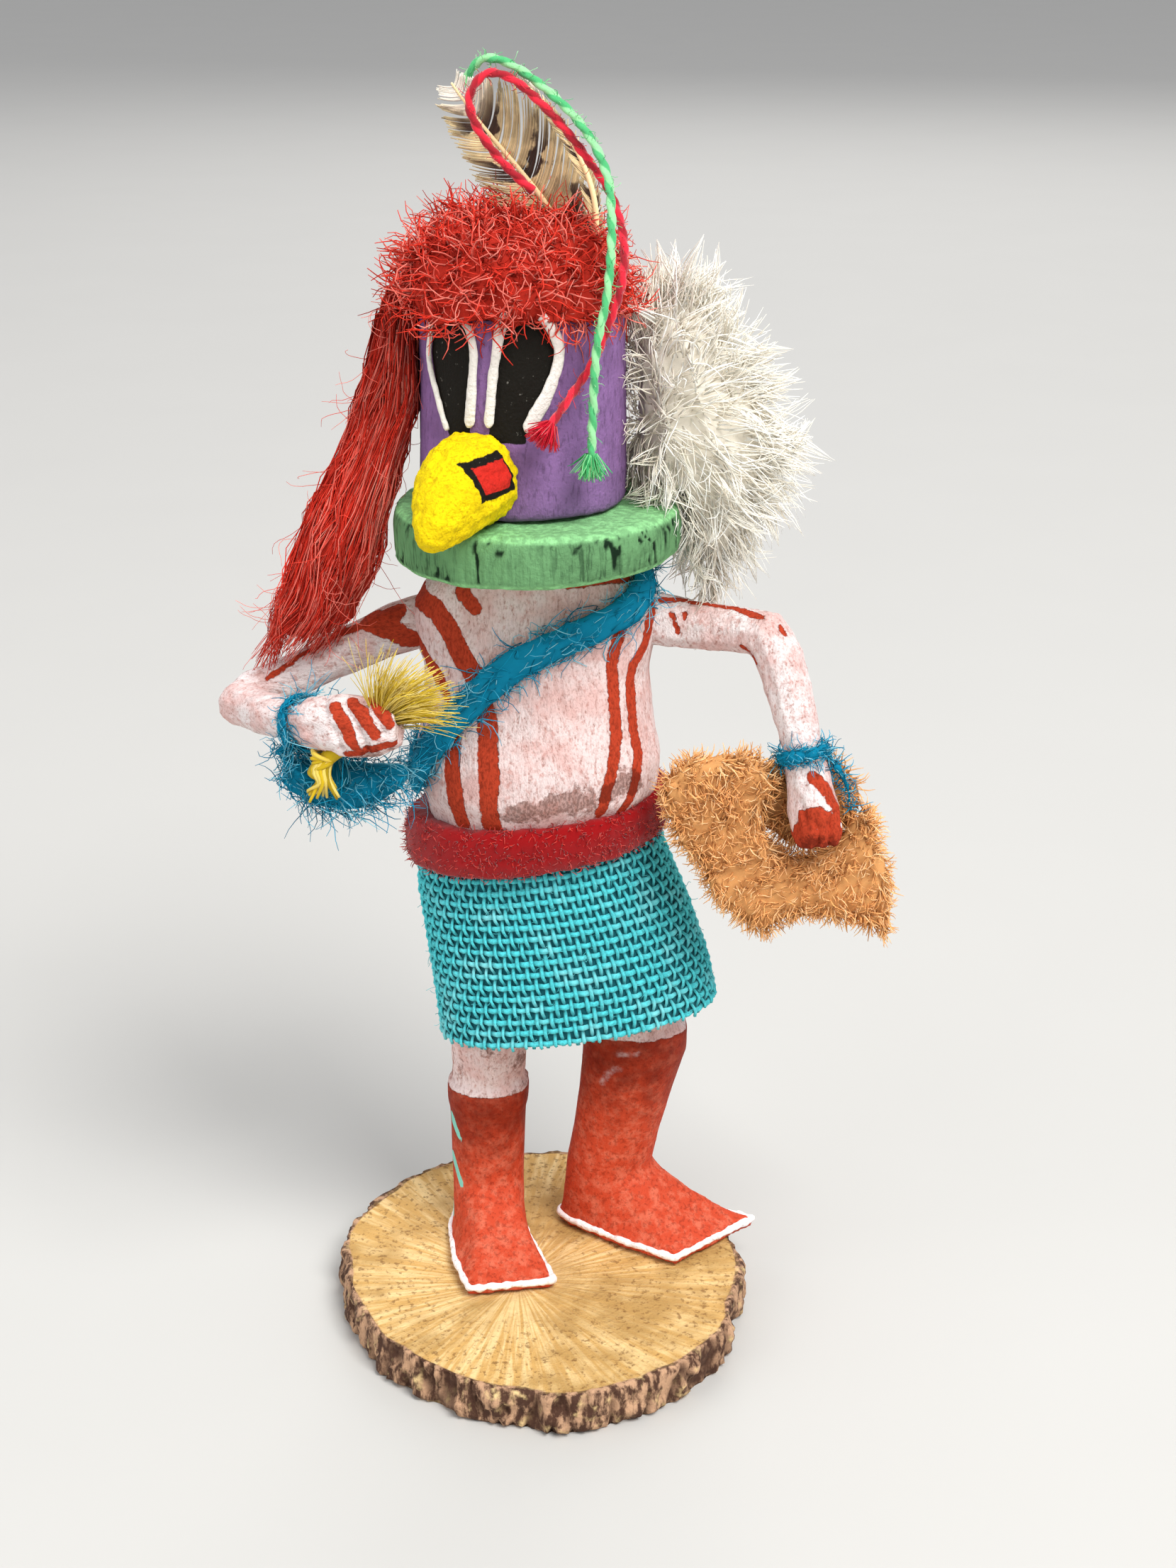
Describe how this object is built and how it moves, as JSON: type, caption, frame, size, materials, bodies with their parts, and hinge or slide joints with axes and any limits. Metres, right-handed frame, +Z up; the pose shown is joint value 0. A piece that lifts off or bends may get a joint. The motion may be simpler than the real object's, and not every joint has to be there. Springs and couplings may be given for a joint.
{
  "type": "kachina doll",
  "caption": "Small carved and painted wooden kachina doll in a bird mask, dressed in cloth, wool and fur, standing on a slice of branch.",
  "frame": {"origin": "on the underside of the slice of branch, below the doll's trunk", "axes": "+Z up, the doll faces -Y, its left hand is on +X"},
  "size_m": [0.0847, 0.0615, 0.1657],
  "materials": {
    "branch_slice": "raw",
    "painted_carving": "matt",
    "green_paint": "matt",
    "purple_paint": "matt",
    "yellow_paint": "matt",
    "turquoise_burlap": "woven",
    "red_felt": "felted",
    "teal_wool": "loose",
    "orange_fur": "furry",
    "yellow_bristle": "bristly",
    "red_wool": "loose",
    "white_fur": "furry",
    "feather": "barbed",
    "green_string": "twisted",
    "red_string": "twisted"
  },
  "bodies": {
    "root": {"base_slice": "branch_slice", "body": "painted_carving", "right_arm": "painted_carving", "left_arm": "painted_carving", "ruff": "green_paint", "mask": "purple_paint", "beak": "yellow_paint", "kilt": "turquoise_burlap", "sash": "red_felt", "bandolier": "teal_wool", "right_wristband": "teal_wool", "left_wristband": "teal_wool", "pelt": "orange_fur", "grass_bundle": "yellow_bristle", "hair_cap": "red_wool", "hair_fall": "red_wool", "fur_tuft": "white_fur", "broad_feather": "feather", "narrow_feather": "feather", "green_string": "green_string", "green_tassel": "green_string", "red_string": "red_string", "red_tassel": "red_string"}
  },
  "joints": []
}
